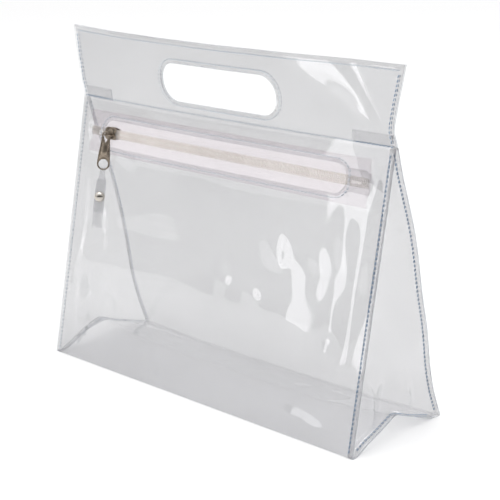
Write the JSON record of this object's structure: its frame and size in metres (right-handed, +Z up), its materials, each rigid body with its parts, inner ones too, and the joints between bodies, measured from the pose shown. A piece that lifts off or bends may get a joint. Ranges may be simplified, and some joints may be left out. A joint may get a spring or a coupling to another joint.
{
  "type": "clear zip toiletry bag",
  "caption": "Clear film toiletry bag that stands on a gusseted base, with a zip across its front panel, a metal pull with a riveted film strap, and a slot handle along its top.",
  "frame": {"origin": "middle of the base, on the surface that the bag stands on", "axes": "+X to the right along the zip, -Y out of the front panel with the zip, +Z up to the handle"},
  "size_m": [0.314, 0.09, 0.25],
  "materials": {
    "clear_film": "clear glossy flexible film",
    "zip_tape": "woven polyester tape, pinkish white",
    "nylon_coil": "satin nylon",
    "filler_cord": "matt cotton cord",
    "blue_thread": "twisted polyester thread, grey blue",
    "slider_metal": "dark antique nickel plate",
    "rivet_metal": "polished nickel"
  },
  "bodies": {
    "bag": {"body_sheet": "clear_film", "gusset_left": "clear_film", "gusset_right": "clear_film", "zip_tape_upper": "zip_tape", "zip_tape_lower": "zip_tape", "zip_coil_upper": "nylon_coil", "zip_coil_lower": "nylon_coil", "zip_cord_upper": "filler_cord", "zip_cord_lower": "filler_cord", "thread_handle_top": "blue_thread", "thread_handle_left": "blue_thread", "thread_handle_right": "blue_thread", "thread_hand_slot": "blue_thread", "thread_cross_seam": "blue_thread", "thread_zip": "blue_thread", "thread_front_left": "blue_thread", "thread_front_right": "blue_thread", "thread_rear_left": "blue_thread", "thread_rear_right": "blue_thread", "thread_base_left": "blue_thread", "thread_base_right": "blue_thread"},
    "slider": {"slider_body": "slider_metal"},
    "pull": {"pull_tab": "slider_metal"},
    "strap": {"puller_strap": "clear_film", "rivet_cap": "rivet_metal", "rivet_post": "rivet_metal"}
  },
  "joints": [
    {"name": "slider_slide", "type": "slide", "parent": "bag", "child": "slider", "axis": [1, 0, 0], "range_m": [0, 0.217]},
    {"name": "pull_swing", "type": "hinge", "parent": "slider", "child": "pull", "pos_m": [-0.1135, -0.0134, 0.17208], "axis": [-1, 0, 0], "range_deg": [0, 120]},
    {"name": "strap_swing", "type": "hinge", "parent": "pull", "child": "strap", "pos_m": [-0.1135, -0.01863, 0.14707], "axis": [-0.7193, -0.6799, 0.1422], "range_deg": [0, 90]}
  ]
}
